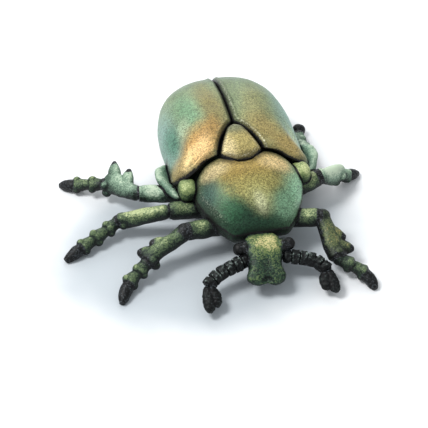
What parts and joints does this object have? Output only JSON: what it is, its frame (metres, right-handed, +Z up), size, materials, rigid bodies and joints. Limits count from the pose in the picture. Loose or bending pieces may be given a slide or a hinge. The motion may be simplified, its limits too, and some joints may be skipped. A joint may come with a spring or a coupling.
{
  "type": "toy rose chafer figure",
  "caption": "Moulded plastic figure of a rose chafer beetle in a walking pose, with domed wing cases, spread legs and clubbed antennae.",
  "frame": {"origin": "on the floor, below the centre of the bounding box", "axes": "+Z up from the floor, the head towards -Y, the beetle's own left side towards +X"},
  "size_m": [0.0806, 0.0758, 0.021],
  "materials": {
    "shell_paint": "satin metallic paint, green fading into gold",
    "leg_paint": "satin metallic yellow-green paint dry-brushed over dark green",
    "black_paint": "satin black paint"
  },
  "bodies": {
    "root": {"prothorax": "shell_paint", "scutellum": "shell_paint", "elytron_left": "shell_paint", "elytron_right": "shell_paint", "metathorax": "leg_paint", "abdomen": "leg_paint", "pygidium": "leg_paint", "mesepimeron_left": "shell_paint", "mesepimeron_right": "shell_paint", "side_lobe_left": "shell_paint", "side_lobe_right": "shell_paint", "head": "shell_paint", "eye_left": "black_paint", "eye_right": "black_paint", "antenna_left_stalk": "black_paint", "antenna_left_club": "black_paint", "antenna_right_stalk": "black_paint", "antenna_right_club": "black_paint", "front_left_femur": "leg_paint", "front_left_tibia": "leg_paint", "front_left_tarsus": "leg_paint", "front_right_femur": "leg_paint", "front_right_tibia": "leg_paint", "front_right_tarsus": "leg_paint", "mid_left_femur": "leg_paint", "mid_left_tibia": "leg_paint", "mid_left_tarsus": "leg_paint", "mid_right_femur": "leg_paint", "mid_right_tibia": "leg_paint", "mid_right_tarsus": "leg_paint", "hind_left_femur": "leg_paint", "hind_left_tibia": "leg_paint", "hind_left_tarsus": "leg_paint", "hind_right_femur": "leg_paint", "hind_right_tibia": "leg_paint", "hind_right_tarsus": "leg_paint"}
  },
  "joints": []
}
